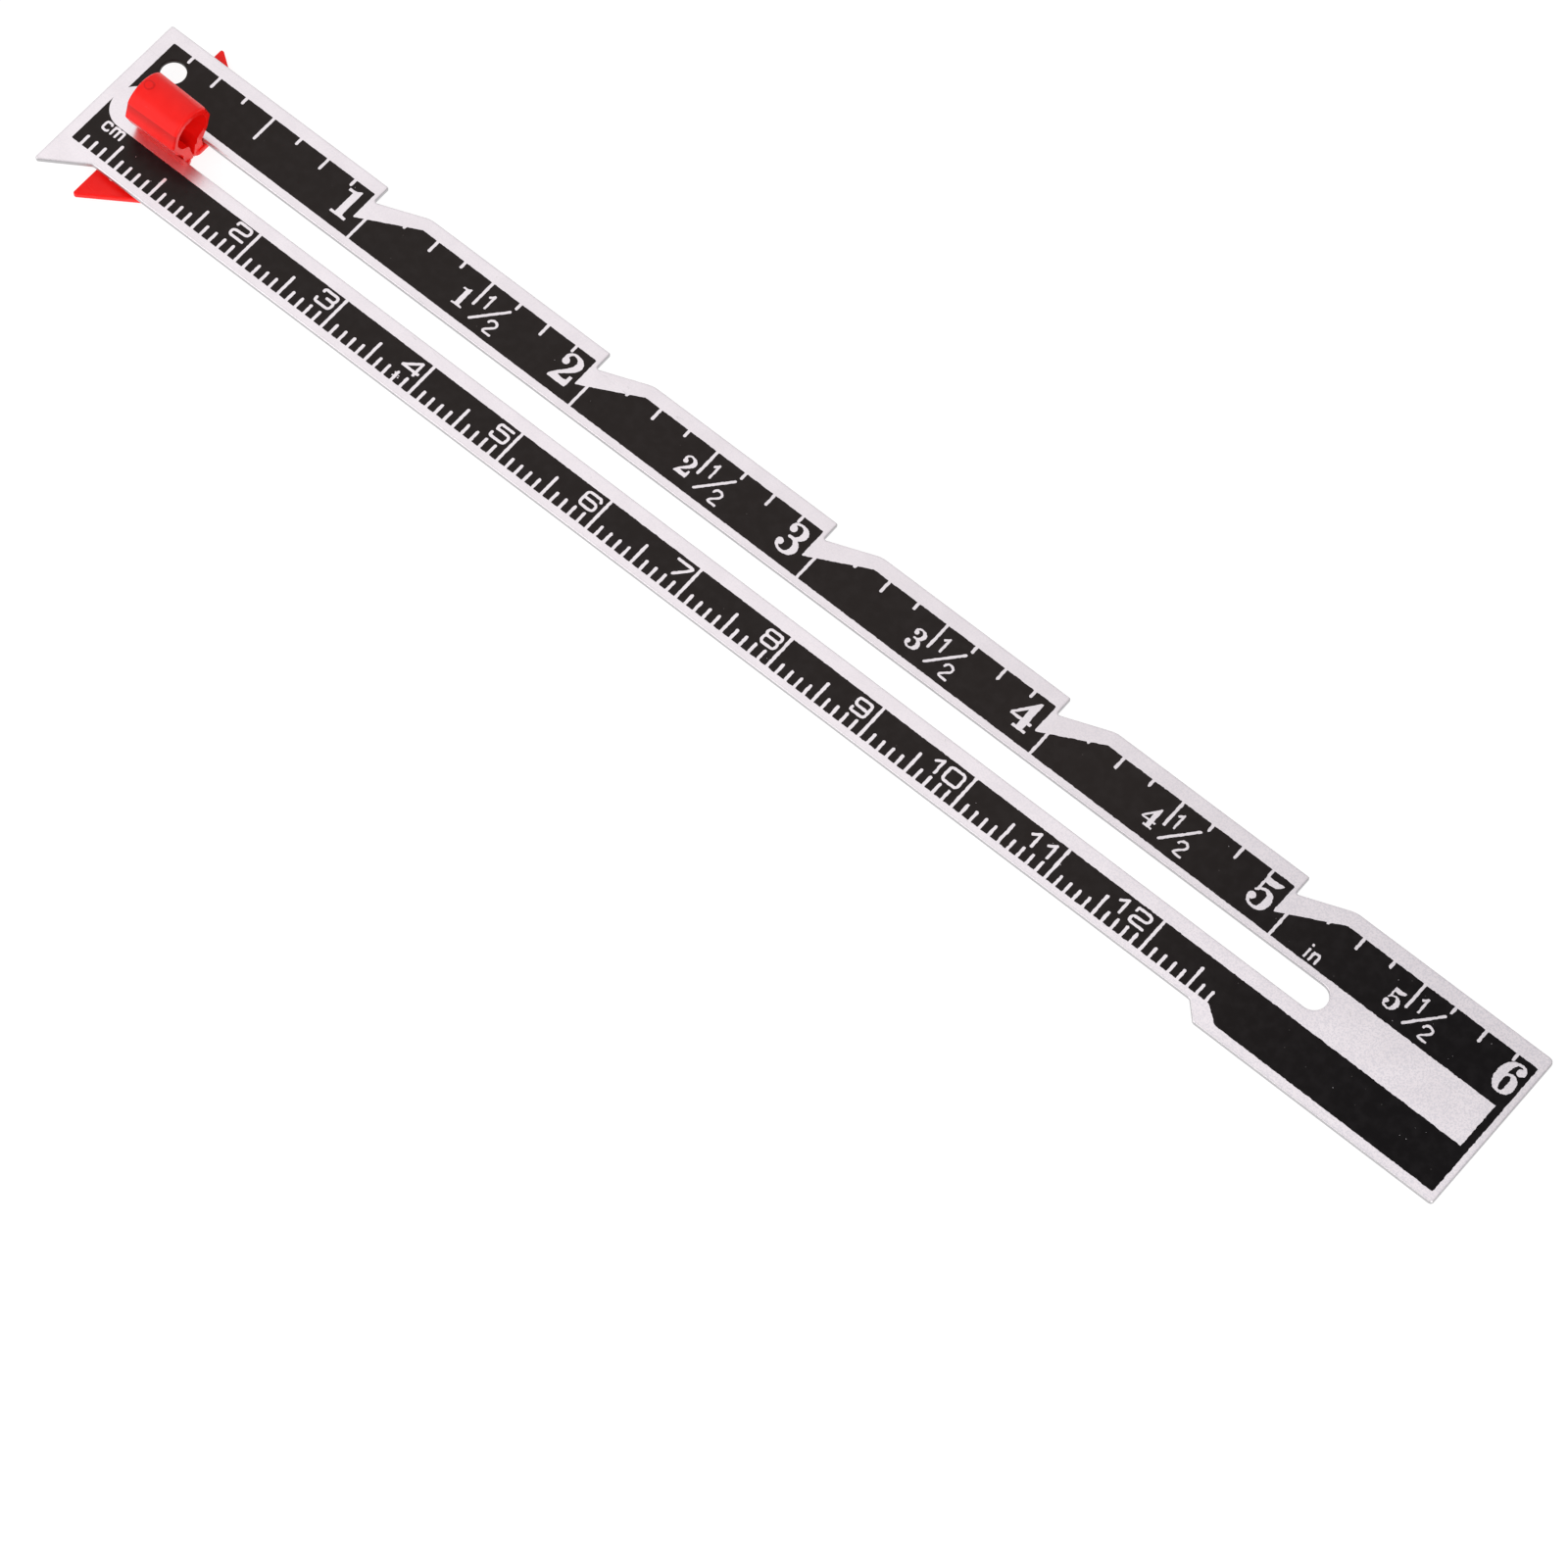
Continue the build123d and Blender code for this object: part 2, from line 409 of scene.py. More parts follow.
def plasticMaterial(look):
    material, tree, shader = newMaterial(look["name"])
    spot = newNode(tree, "ShaderNodeTexCoord").outputs["Object"]
    clouds = cloudiness(tree, spot, look["mottleSize"])
    flow = stretched(tree, spot, look["flowStretch"])
    grain = cloudiness(tree, flow, look["grainSize"])
    clouded = spread(tree, clouds, *look["cloudRange"])
    colour = mixColours(tree, clouded, look["deep"], look["bright"])
    # Painted shade along each crease, fading downwards
    creaseShadeAndGroove = creaseMask(tree, spot, look)
    creaseShadeAmount = maths(tree, "MULTIPLY", creaseShadeAndGroove, look["creaseShadeTone"])
    colour = mixColours(tree, creaseShadeAmount, colour, look["creaseShadeAndGroove"])
    scuffs = useGroup(tree, scratches, {"Place": flow, **look["scuffLines"]})
    scuffed = maths(tree, "MULTIPLY", scuffs, look["scuffRoughness"])
    rough = uneven(tree, look["roughness"], clouds, look["roughnessSpread"])
    rough = maths(tree, "ADD", rough, scuffed, clamp=True)
    fill(tree, shader, {
        "Base Color": colour,
        "Roughness": rough,
        "Specular IOR Level": look["shine"],
        "Subsurface Weight": look["softness"],
        "Subsurface Radius": look["softReds"],
        "Subsurface Scale": look["softReach"],
    })
    height = maths(tree, "SUBTRACT", grain, maths(tree, "MULTIPLY", creaseShadeAndGroove, look["creaseDepth"]))
    addBump(tree, shader, height, look["bumpStrength"], look["grainDepth"])
    return material


plastic = plasticMaterial(redPlastic)
metal = aluminiumMaterial(aluminium)
inkCoat = inkMaterial(ink)
print("materials made")


def newPiece(name, points, faces):
    mesh = bpy.data.meshes.new(name)
    mesh.from_pydata(points, [], faces)
    mesh.validate()
    piece = bpy.data.objects.new(name, mesh)
    bpy.context.scene.collection.objects.link(piece)
    return piece


def dress(thing, material):
    thing.data.materials.clear()
    thing.data.materials.append(material)


# Flat shapes for the print are closed lists of points. Corners are rounded by arcs, each on less
# than half of the shorter side beside it
def roundCorners(points, radius, closed=True, steps=4):
    made = []
    count = len(points)
    for place, corner in enumerate(points):
        if not closed and place in (0, count - 1):
            made.append(corner)
            continue
        here = Vector(corner)
        before = Vector(points[place - 1]) - here
        after = Vector(points[(place + 1) % count]) - here
        half = before.angle(after) / 2
        reach = min(radius / math.tan(half), before.length * 0.49, after.length * 0.49)
        start = here + before.normalized() * reach
        end = here + after.normalized() * reach
        for step in range(steps + 1):
            share = step / steps
            first = start.lerp(here, share)
            second = here.lerp(end, share)
            made.append(tuple(first.lerp(second, share)))
    return made


def circle(x, y, radius, sides=20):
    turns = [2 * math.pi * side / sides for side in range(sides)]
    return [(x + radius * math.cos(turn), y + radius * math.sin(turn)) for turn in turns]


# The round end of a band, from its left side to its right as seen from inside the band
bandEnd = {"firstTurn": 0.7, "bulge": 0.42}


def roundEnd(tip, inner, width, look):
    way = (Vector(tip) - Vector(inner)).normalized()
    across = Vector((way.y, -way.x)) * (width / 2)
    made = []
    for turn in (look["firstTurn"], math.pi / 2, math.pi - look["firstTurn"]):
        out = way * (width * look["bulge"] * math.sin(turn))
        spot = Vector(tip) + across * math.cos(turn) + out
        made.append(tuple(spot))
    return made


# A band along a path. Each point has its own width, and the ends are round
def band(points, widths):
    left, right = [], []
    count = len(points)
    for place, point in enumerate(points):
        before = Vector(points[max(place - 1, 0)])
        after = Vector(points[min(place + 1, count - 1)])
        along = (after - before).normalized()
        side = Vector((-along.y, along.x)) * (widths[place] / 2)
        left.append(tuple(Vector(point) + side))
        right.append(tuple(Vector(point) - side))
    start = roundEnd(points[0], points[1], widths[0], bandEnd)
    end = roundEnd(points[-1], points[-2], widths[-1], bandEnd)
    return start + right + end + left[::-1]


# A smooth curve through points that each carry a width, for strokes that swell and thin
def swelling(nodes, steps=6):
    points, widths = [], []
    count = len(nodes)
    for place in range(count - 1):
        around = [nodes[min(max(place + shift, 0), count - 1)] for shift in (-1, 0, 1, 2)]
        for step in range(steps):
            t = step / steps
            mixed = []
            for a, b, c, d in zip(*around):
                bend = (c - a) * t + (2 * a - 5 * b + 4 * c - d) * t**2
                mixed.append(b + (bend + (3 * b - a - 3 * c + d) * t**3) / 2)
            points.append(tuple(mixed[:2]))
            widths.append(mixed[2])
    points.append(tuple(nodes[-1][:2]))
    widths.append(nodes[-1][2])
    return band(points, widths)


# Numerals of the inch scale: stout strokes with ball ends, and plates with nearly square corners.
# Height is 1, width 0.6
plateRadius = 0.02
boldDigits = {
    "1": {
        "strokes": [],
        "balls": [],
        "plates": [
            [(0.09, 0.0), (0.61, 0.0), (0.61, 0.085), (0.46, 0.10), (0.445, 0.20), (0.445, 0.975),
             (0.39, 0.975), (0.30, 0.905), (0.18, 0.885), (0.07, 0.885), (0.07, 0.80),
             (0.226, 0.80), (0.226, 0.085), (0.09, 0.085)],
        ],
    },
    "2": {
        "strokes": [
            [(0.125, 0.64, 0.18), (0.075, 0.75, 0.12), (0.10, 0.85, 0.09), (0.19, 0.92, 0.08),
             (0.30, 0.92, 0.085), (0.42, 0.875, 0.14), (0.505, 0.78, 0.19), (0.515, 0.69, 0.205),
             (0.48, 0.59, 0.19), (0.41, 0.49, 0.155), (0.29, 0.365, 0.125), (0.16, 0.23, 0.10),
             (0.06, 0.10, 0.085), (0.03, 0.04, 0.08)],
        ],
        "balls": [(0.127, 0.642, 0.108)],
        "plates": [
            [(-0.01, 0.0), (0.59, 0.0), (0.605, 0.10), (0.60, 0.355), (0.50, 0.355), (0.50, 0.215),
             (0.42, 0.18), (0.32, 0.182), (0.20, 0.205), (0.10, 0.17)],
        ],
    },
    "3": {
        "strokes": [
            [(0.125, 0.725, 0.18), (0.075, 0.80, 0.12), (0.11, 0.88, 0.08), (0.19, 0.92, 0.078),
             (0.31, 0.92, 0.08), (0.42, 0.87, 0.14), (0.485, 0.77, 0.19), (0.485, 0.67, 0.19),
             (0.43, 0.57, 0.15), (0.33, 0.50, 0.10), (0.18, 0.49, 0.09)],
            [(0.18, 0.49, 0.09), (0.33, 0.485, 0.10), (0.44, 0.41, 0.15), (0.505, 0.31, 0.19),
             (0.51, 0.20, 0.20), (0.45, 0.09, 0.17), (0.36, 0.03, 0.10), (0.26, 0.01, 0.08),
             (0.13, 0.04, 0.08), (0.04, 0.12, 0.09), (0.02, 0.22, 0.10)],
        ],
        "balls": [(0.125, 0.725, 0.108), (0.070, 0.225, 0.107)],
        "plates": [],
    },
    "4": {
        "strokes": [],
        "balls": [],
        "plates": [
            [(0.277, 0.02), (0.487, 0.02), (0.487, 0.985), (0.42, 0.985), (0.277, 0.79)],
            [(-0.07, 0.28), (0.0, 0.28), (0.035, 0.355), (0.30, 0.665), (0.45, 0.985),
             (0.42, 0.985), (-0.07, 0.35)],
            [(-0.07, 0.256), (0.60, 0.256), (0.60, 0.342), (-0.07, 0.342)],
            [(0.174, 0.0), (0.60, 0.0), (0.60, 0.083), (0.174, 0.083)],
        ],
    },
    "5": {
        "strokes": [
            [(0.10, 0.93, 0.072), (0.10, 0.70, 0.072), (0.095, 0.52, 0.072), (0.055, 0.45, 0.062)],
            [(0.08, 0.47, 0.06), (0.16, 0.55, 0.07), (0.27, 0.60, 0.08), (0.38, 0.58, 0.12),
             (0.48, 0.49, 0.18), (0.51, 0.36, 0.21), (0.505, 0.24, 0.205), (0.45, 0.11, 0.17),
             (0.36, 0.04, 0.10), (0.26, 0.025, 0.08), (0.13, 0.055, 0.08), (0.05, 0.14, 0.09),
             (0.03, 0.24, 0.10)],
        ],
        "balls": [(0.084, 0.262, 0.112)],
        "plates": [
            [(0.065, 0.965), (0.10, 0.775), (0.20, 0.757), (0.33, 0.755), (0.45, 0.79),
             (0.55, 0.87), (0.61, 0.975), (0.50, 0.965), (0.36, 0.95), (0.20, 0.955)],
        ],
    },
    "6": {
        "strokes": [
            [(0.545, 0.77, 0.11), (0.555, 0.86, 0.08), (0.47, 0.945, 0.08), (0.35, 0.96, 0.08),
             (0.24, 0.91, 0.12), (0.14, 0.80, 0.19), (0.085, 0.64, 0.24), (0.077, 0.46, 0.246),
             (0.085, 0.30, 0.235), (0.14, 0.14, 0.17), (0.22, 0.055, 0.10), (0.32, 0.038, 0.078)],
            [(0.29, 0.038, 0.078), (0.40, 0.07, 0.12), (0.475, 0.17, 0.21), (0.495, 0.32, 0.235),
             (0.465, 0.47, 0.20), (0.39, 0.56, 0.13), (0.30, 0.575, 0.085), (0.20, 0.52, 0.07),
             (0.15, 0.47, 0.06)],
        ],
        "balls": [(0.465, 0.785, 0.112)],
        "plates": [],
    },
}

# Numerals of the centimetre scale: square letters of even stroke. Height is 1, width 1.15
plainDigits = {
    "0": [[(0.5, 1), (0, 1), (0, 0), (0.52, 0)], [(0.5, 0), (1.03, 0), (1.03, 1), (0.5, 1)]],
    "1": [[(0.41, 1), (0.41, 0)], [(0.41, 0.98), (0, 0.68)]],
    "2": [[(0.02, 0.78), (0.02, 1), (1.01, 1), (1.01, 0.50), (0.01, 0.42), (0.01, 0), (1.01, 0)]],
    "3": [
        [(0.07, 0.80), (0.07, 1), (1.07, 1), (1.07, 0.53), (0.50, 0.53)],
        [(0.80, 0.53), (1.06, 0.52), (1.06, 0), (0, 0), (0, 0.27)],
    ],
    "4": [[(0.88, 0.97), (-0.02, 0.235)], [(-0.04, 0.22), (1.12, 0.22)], [(0.91, 0.97), (0.91, 0)]],
    "5": [
        [(1.07, 1), (0.13, 1), (0.17, 0.60)],
        [(0.20, 0.63), (1.08, 0.63), (1.08, 0), (0.07, 0), (0.07, 0.25)],
    ],
    "6": [
        [(1.09, 0.80), (0.98, 1), (0.08, 1), (0.08, 0), (0.60, 0)],
        [(0.55, 0), (1.05, 0), (1.05, 0.54), (0.10, 0.54)],
    ],
    "7": [[(0.05, 1), (1.09, 1)], [(1.15, 0.94), (0.36, 0.01)]],
    "8": [
        [(0.6, 1), (0.14, 1), (0.14, 0.54), (0.6, 0.54)],
        [(0.6, 1), (1.12, 1), (1.12, 0.54), (0.6, 0.54)],
        [(0.6, 0.54), (0.14, 0.54), (0.14, 0), (0.6, 0)],
        [(0.6, 0.54), (1.12, 0.54), (1.12, 0), (0.6, 0)],
    ],
    "9": [
        [(0.06, 0.23), (0.06, 0), (0.98, 0), (0.98, 1), (0.48, 1)],
        [(0.50, 1), (0.04, 1), (0.04, 0.47), (0.95, 0.47)],
    ],
}

# Small even-stroke signs: the one half's figures and the unit marks. Height is 1
smallSigns = {
    "one": [[(0.34, 1.0), (0.34, 0)], [(0.33, 0.95), (0.10, 0.76)]],
    "two": [
        [(0.10, 0.72), (0.13, 0.86), (0.27, 0.99), (0.48, 1), (0.66, 0.86), (0.64, 0.62), (0.02, 0),
         (0.72, 0)],
    ],
    "i": [[(0, 0.62), (0, 0)], [(0, 0.93), (0, 0.99)]],
    "n": [[(0, 0.62), (0, 0)], [(0, 0.45), (0.12, 0.62), (0.44, 0.62), (0.44, 0)]],
    "c": [[(0.46, 0.52), (0.40, 0.62), (0, 0.62), (0, 0), (0.40, 0), (0.46, 0.10)]],
    "m": [
        [(0, 0.62), (0, 0)],
        [(0, 0.45), (0.10, 0.62), (0.38, 0.62), (0.38, 0)],
        [(0.38, 0.45), (0.48, 0.62), (0.76, 0.62), (0.76, 0)],
    ],
}


def boldDigit(sign, left, foot, height):
    look = boldDigits[sign]
    shapes = [swelling(nodes) for nodes in look["strokes"]]
    shapes += [circle(*ball) for ball in look["balls"]]
    shapes += [roundCorners(plate, plateRadius) for plate in look["plates"]]
    return [[(left + x * height, foot + y * height) for x, y in shape] for shape in shapes]


def evenSign(paths, left, foot, width, height, stroke, radius):
    shapes = []
    for path in paths:
        points = [(left + x * width, foot + y * height) for x, y in path]
        points = roundCorners(points, radius, closed=False)
        shapes.append(band(points, [stroke] * len(points)))
    return shapes


# The print's places on the blade. It covers the blade's face apart from a rim, a band round the
# slot, the hanging hole, and the ticks, lines and numerals, which are bare metal
scalePrint = {
    "filmThickness": 0.012,
    "skew": 0.09,  # degrees that the whole print is turned, about a place near the far end
    "skewAbout": 120.0,
    "inchLeft": 1.4,
    "centimetreLeft": 1.1,
    "right": 151.8,
    "inchTop": 6.75,
    "inchFoot": 1.93,
    "centimetreTop": -2.72,
    "centimetreFoot": -6.15,
    "wideFoot": -7.37,
    "wideBevel": (127.7, 129.3),
    "bandLeft": 1.07,
    "bandRight": 151.1,
    "notchBefore": 0.45,
    "notchAfter": 5.1,
    "notchFoot": 3.77,
    "cornerRadius": 0.12,
    "holeClearRadius": 1.318,
    "holeClearSides": 48,
    "edgeRoughness": 0.028,
    "edgeRoughnessShares": (0.8, 1.6),  # at the zero end, and what the far end adds
    "edgeWavesPerMm": 9,
    "noiseSeed": 5,
    "edgeStep": 0.19,
}
holeCentre = (3.3, 4.7)

inchTicks = {
    "shift": 0.50,  # how far the print sits past the true inches
    "width": 0.29,
    "eighth": 0.78,
    "quarter": 1.32,
    "half": 2.77,
    "besideNotch": 0.22,
    "lineShift": 0.60,
    "lineTop": 4.7,
    "lineOverlap": 0.3,
    "flare": 0.03,
}

centimetreTicks = {
    "shift": 0.13,
    "stretch": 1.002,
    "first": 2,
    "last": 127,
    "width": 0.30,
    "millimetre": 1.17,
    "five": 2.28,
    "lineOverlap": 0.3,
    "flare": 0.03,
}

numerals = {
    "inchHeight": 3.25,
    "inchReach": 0.62,  # width for a height of 1
    "inchFoot": 2.98,
    "inchRights": (24.70, 49.95, 75.25, 100.75, 126.05, 151.45),
    "halfHeight": 2.13,
    "halfReach": 0.6,
    "halfFoot": 3.0,
    "halfRight": -0.55,  # from the half-inch tick
    "fractionStroke": 0.23,
    "fractionShifts": (0.0, 0.0, 0.0, -0.22, 0.0),
    "onePlace": (0.58, 4.38),
    "oneSize": (1.4, 1.45),
    "oneRadius": 0.05,
    "twoPlace": (2.05, 2.60),
    "twoSize": (1.5, 1.38),
    "twoRadius": 0.22,
    "slashEnds": ((0.62, 2.82), (3.0, 5.55)),
    "slashStroke": 1.15,  # times the fraction's stroke
    "centimetreHeight": 1.43,
    "centimetreWidth": 1.50,
    "centimetreFeet": (-4.36, -4.49, -4.58, -4.61, -4.62, -4.62, -4.62, -4.62, -4.62, -4.62, -4.57),
    "centimetreLeft": -2.22,  # from the centimetre line, for one figure
    "centimetreLefts": {10: (-3.65, -2.27), 11: (-3.27, -1.60), 12: (-4.00, -2.41)},
    "centimetreStroke": 0.275,
    "centimetreRadius": 0.36,
    "unitHeight": 1.35,
    "unitStroke": 0.24,
    "unitSigns": (  # sign, place and corner radius
        ("i", 131.0, 2.25, 0.2),
        ("n", 131.5, 2.25, 0.2),
        ("c", 2.4, -3.72, 0.25),
        ("m", 3.4, -3.72, 0.2),
    ),
}


def onPrint(point):
    turn = math.radians(scalePrint["skew"])
    x, y = point
    return (x, y - (x - scalePrint["skewAbout"]) * math.tan(turn))


# A tick runs in from the print's edge, downwards where the direction is 1 and upwards where it is
# -1, with a round foot and a slightly flared mouth
def tick(x, edge, length, width, flare, direction, beyond=0.5, steps=6):
    half = width / 2
    foot = edge - direction * length
    mouth, end = [], []
    for share in (0.0, 0.5, 1.0):
        turn = share * math.pi / 2
        out = flare * (1 - math.cos(turn))
        drop = flare - flare * (1 - math.sin(turn))
        mouth.append((x + half + flare - out, edge - direction * drop))
    for step in range(steps + 1):
        turn = step / steps * math.pi
        rise = direction * half - direction * half * math.sin(turn)
        end.append((x + half * math.cos(turn), foot + rise))
    mirrored = [(2 * x - px, py) for px, py in mouth][::-1]
    outer = edge + direction * beyond
    return [(x + half + flare, outer)] + mouth + end + mirrored + [(x - half - flare, outer)]


def bar(left, right, low, high):
    return [(left, low), (right, low), (right, high), (left, high)]


def printOutline(look):
    middle = (look["inchFoot"] + look["centimetreTop"]) / 2
    bevelStart, bevelEnd = look["wideBevel"]
    points = [
        (look["centimetreLeft"], look["centimetreFoot"]),
        (bevelStart, look["centimetreFoot"]),
        (bevelEnd, look["wideFoot"]),
        (look["right"], look["wideFoot"]),
        (look["right"], look["inchTop"]),
    ]
    for mark in range(inches - 1, 0, -1):
        points.append((mark * inch + look["notchAfter"], look["inchTop"]))
        points.append((mark * inch - look["notchBefore"], look["notchFoot"]))
        points.append((mark * inch - look["notchBefore"], look["inchTop"]))
    points.append((look["inchLeft"], look["inchTop"]))
    points.append((look["inchLeft"], middle))
    points.append((look["centimetreLeft"], middle))
    return roundCorners(points, look["cornerRadius"])


# The bare band round the slot, with a round left end and a square right end
def slotBand(look, steps=24):
    radius = (look["inchFoot"] - look["centimetreTop"]) / 2
    middle = look["inchFoot"] - radius
    centre = look["bandLeft"] + radius
    turns = [math.pi / 2 + math.pi * step / steps for step in range(steps + 1)]
    arc = [(centre + radius * math.cos(turn), middle + radius * math.sin(turn)) for turn in turns]
    corners = [(look["bandRight"], look["centimetreTop"]), (look["bandRight"], look["inchFoot"])]
    return arc + corners


# Ticks of the inch scale and its lines at the whole inches. Beside each notch the first tick is
# cut short by the notch's slant
def inchShapes(look):
    shapes = []
    lengths = {0: look["half"], 1: look["eighth"], 2: look["quarter"], 3: look["eighth"]}
    top, notchFoot = scalePrint["inchTop"], scalePrint["notchFoot"]
    before, after = scalePrint["notchBefore"], scalePrint["notchAfter"]
    for eighth in range(1, inches * 8):
        if eighth % 8 == 0:
            x = eighth * inch / 8 + look["lineShift"]
            half = look["width"] / 2
            low = scalePrint["inchFoot"] - look["lineOverlap"]
            shapes.append(bar(x - half, x + half, low, look["lineTop"]))
            continue
        x = eighth * inch / 8 + look["shift"]
        length = lengths[eighth % 4]
        edge = top
        if eighth % 8 == 1 and eighth > 8:
            slant = (top - notchFoot) / (after + before)
            edge = notchFoot + slant * ((x % inch) + before)
            length = look["besideNotch"]
        shapes.append(tick(x, edge, length, look["width"], look["flare"], 1))
    return shapes


# Whole inches, and the one half beside each half-inch tick but the first
def inchNumerals(look):
    shapes = []
    for mark, right in enumerate(look["inchRights"], start=1):
        left = right - look["inchReach"] * look["inchHeight"]
        shapes += boldDigit(str(mark), left, look["inchFoot"], look["inchHeight"])
    stroke = look["fractionStroke"]
    slashStroke = stroke * look["slashStroke"]
    for whole, shift in enumerate(look["fractionShifts"], start=1):
        x = (whole + 0.5) * inch + inchTicks["shift"]
        left = x + look["halfRight"] - look["halfReach"] * look["halfHeight"]
        shapes += boldDigit(str(whole), left, look["halfFoot"], look["halfHeight"])
        x += shift
        for sign in ("one", "two"):
            right, foot = look[sign + "Place"]
            size, radius = look[sign + "Size"], look[sign + "Radius"]
            shapes += evenSign(smallSigns[sign], x + right, foot, *size, stroke, radius)
        slash = [(x + right, height) for right, height in look["slashEnds"]]
        shapes.append(band(slash, [slashStroke, slashStroke]))
    return shapes


# Ticks of the centimetre scale, and its lines from the second centimetre on
def centimetreShapes(look):
    shapes = []
    foot = scalePrint["centimetreFoot"]
    low, high = foot - look["lineOverlap"], scalePrint["centimetreTop"] + look["lineOverlap"]
    for count in range(look["first"], look["last"] + 1):
        x = count * look["stretch"] + look["shift"]
        if count % 10 == 0 and count > 10:
            half = look["width"] / 2
            shapes.append(bar(x - half, x + half, low, high))
            continue
        length = look["five"] if count % 5 == 0 else look["millimetre"]
        shapes.append(tick(x, foot, length, look["width"], look["flare"], -1))
    return shapes


def centimetreNumerals(look):
    shapes = []
    size = (look["centimetreWidth"], look["centimetreHeight"])
    stroke, radius = look["centimetreStroke"], look["centimetreRadius"]
    for centimetre, foot in enumerate(look["centimetreFeet"], start=2):
        line = centimetre * 10 * centimetreTicks["stretch"] + centimetreTicks["shift"]
        lefts = look["centimetreLefts"].get(centimetre, (look["centimetreLeft"],))
        for sign, left in zip(str(centimetre), lefts):
            shapes += evenSign(plainDigits[sign], line + left, foot, *size, stroke, radius)
    return shapes


def unitMarks(look):
    height, stroke = look["unitHeight"], look["unitStroke"]
    shapes = []
    for sign, x, y, radius in look["unitSigns"]:
        shapes += evenSign(smallSigns[sign], x, y, height, height, stroke, radius)
    return shapes


# Pinholes in the ink, more of them towards the far end, and one rubbed spot
inkFlaws = {
    "seed": 11,
    "sides": 7,
    "pinholes": 26,
    "pinholeEnd": 150.5,
    "pinholeRun": 148.0,
    "pinholeCrowding": 1.6,
    "pinholeRows": ((2.3, 6.2), (-5.8, -3.0)),
    "pinholeRadii": (0.018, 0.04),
    "rubs": 9,
    "rubPlace": (38.2, -5.45),
    "rubAlong": (-0.30, 0.35),
    "rubAcross": (-0.22, 0.22),
    "rubRadii": (0.03, 0.08),
}


def flawShapes(look):
    chance = random.Random(look["seed"])
    upper, lower = look["pinholeRows"]
    shapes = []
    for hole in range(look["pinholes"]):
        x = look["pinholeEnd"] - look["pinholeRun"] * chance.random() ** look["pinholeCrowding"]
        row = upper if chance.random() < 0.5 else lower
        y = chance.uniform(*row)
        shapes.append(circle(x, y, chance.uniform(*look["pinholeRadii"]), look["sides"]))
    for rub in range(look["rubs"]):
        x = look["rubPlace"][0] + chance.uniform(*look["rubAlong"])
        y = look["rubPlace"][1] + chance.uniform(*look["rubAcross"])
        shapes.append(circle(x, y, chance.uniform(*look["rubRadii"]), look["sides"]))
    return shapes


# Printed edges waver slightly, as ink pressed through a mesh does, and more at the far end
def wavering(points, look):
    made = []
    waves = look["edgeWavesPerMm"]
    least, more = look["edgeRoughnessShares"]
    for place, point in enumerate(points):
        start = Vector(point)
        end = Vector(points[(place + 1) % len(points)])
        pieces = max(1, int((end - start).length / look["edgeStep"]))
        for piece in range(pieces):
            spot = start.lerp(end, piece / pieces)
            shift = noise.noise_vector(Vector((spot.x * waves, spot.y * waves, 0)))
            reach = look["edgeRoughness"] * (least + more * max(spot.x, 0) / bladeHigh.x)
            made.append((spot.x + reach * shift.x, spot.y + reach * shift.y))
    return made


def anticlockwise(points):
    area = sum(a[0] * b[1] - b[0] * a[1] for a, b in zip(points, points[1:] + points[:1]))
    return points if area > 0 else points[::-1]


# One film: the outline's inside without the bare shapes, with a thin wall round every rim. The
# cut gives its corners, its faces, and for each face the shapes that it lies in
def addFilm(name, outline, bare, low, thickness, nearest=1e-5):
    corners, loops = [], []
    for shape in [outline] + bare:
        shape = anticlockwise(shape)
        loops.append(list(range(len(corners), len(corners) + len(shape))))
        corners += [Vector(point) for point in shape]
    result = delaunay_2d_cdt(corners, [], loops, 0, nearest)
    spots, faces, sources = result[0], result[2], result[5]
    kept = [list(face) for face, source in zip(faces, sources) if list(source) == [0]]
    points = [(spot.x * mm, spot.y * mm, (low + thickness) * mm) for spot in spots]
    directed = set()
    for face in kept:
        directed |= set(zip(face, face[1:] + face[:1]))
    rim = sorted((a, b) for a, b in directed if (b, a) not in directed)
    lower = {}
    for edge in rim:
        for corner in edge:
            if corner not in lower:
                lower[corner] = len(points)
                points.append((points[corner][0], points[corner][1], low * mm))
    kept += [[b, a, lower[a], lower[b]] for a, b in rim]
    used = sorted({corner for face in kept for corner in face})
    place = {corner: count for count, corner in enumerate(used)}
    allFaces = [[place[corner] for corner in face] for face in kept]
    return newPiece(name, [points[corner] for corner in used], allFaces)


def addPrint(look):
    noise.seed_set(look["noiseSeed"])
    outline = [onPrint(point) for point in wavering(printOutline(look), look)]
    bare = [slotBand(look)]
    bare += inchShapes(inchTicks) + centimetreShapes(centimetreTicks)
    bare += inchNumerals(numerals) + centimetreNumerals(numerals) + unitMarks(numerals)
    bare = [wavering(shape, look) for shape in bare] + flawShapes(inkFlaws)
    bare = [[onPrint(point) for point in shape] for shape in bare]
    bare.append(circle(*holeCentre, look["holeClearRadius"], look["holeClearSides"]))
    piece = addFilm("scalePrint", outline, bare, bladeHigh.z, look["filmThickness"])
    dress(piece, inkCoat)
    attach(piece, "blade")
    print("print has", len(piece.data.polygons), "faces")


# Ink that reaches round the hanging hole's edge, and carries on a little way down its wall as a
# dark sheet that stands in for the wall's shade (painted shade)
inkedRimAndWallShade = {
    "holeRadius": 1.2,
    "edgeRadius": 0.13,
    "thickness": 0.010,
    "sunk": 0.004,
    # Painted shade: how far the dark ink sheet runs down the hole's wall
    "wallShadeReach": 0.25,
    "sides": 72,
    "steps": 8,
}


